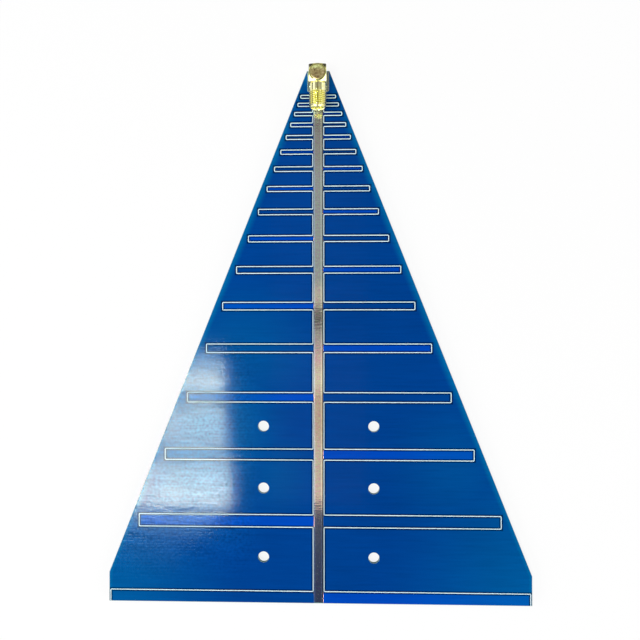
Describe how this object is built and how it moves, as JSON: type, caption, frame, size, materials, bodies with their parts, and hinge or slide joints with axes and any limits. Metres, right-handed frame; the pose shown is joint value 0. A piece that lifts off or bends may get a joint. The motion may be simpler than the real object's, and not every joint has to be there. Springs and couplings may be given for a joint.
{
  "type": "log periodic antenna",
  "caption": "Flat triangular circuit-board antenna with paired printed arms along a tinned centre strip and a gold right-angle coaxial jack at its narrow end.",
  "frame": {"origin": "middle of the box's underside: on the board's centre line, half way along it, at the height of the lead tips", "axes": "+Y along the board to its narrow feed end, +Z out of the front face that carries the jack, +X to the right of the front face"},
  "size_m": [0.159, 0.2, 0.0109],
  "materials": {
    "laminate": "glass-fibre epoxy board core with sawn edges",
    "copper": "copper foil under the lacquer",
    "solder": "hot-levelled solder, slightly rippled",
    "solder_mask": "glossy blue solder lacquer",
    "print": "white screen print",
    "gold_plate": "bright gold plate on brass",
    "cap_gold": "dull pressed gold-plated cap",
    "insulator": "white fluoropolymer"
  },
  "bodies": {
    "root": {"laminate": "laminate", "front_copper": "copper", "rear_copper": "copper", "lead_pad_1": "copper", "lead_pad_2": "copper", "lead_pad_3": "copper", "lead_pad_4": "copper", "front_solder_coat": "solder", "rear_solder_coat": "solder", "front_mask_left": "solder_mask", "front_mask_right": "solder_mask", "rear_mask": "solder_mask", "front_print_left": "print", "front_print_right": "print", "rear_print_left": "print", "rear_print_right": "print", "connector_block": "gold_plate", "threaded_barrel": "gold_plate", "access_cap": "cap_gold", "barrel_insulator": "insulator", "pin_insulator": "insulator", "centre_contact": "gold_plate", "centre_pin": "gold_plate", "lead_solder_1": "solder", "lead_solder_2": "solder", "lead_solder_3": "solder", "lead_solder_4": "solder", "pin_solder": "solder"}
  },
  "joints": []
}
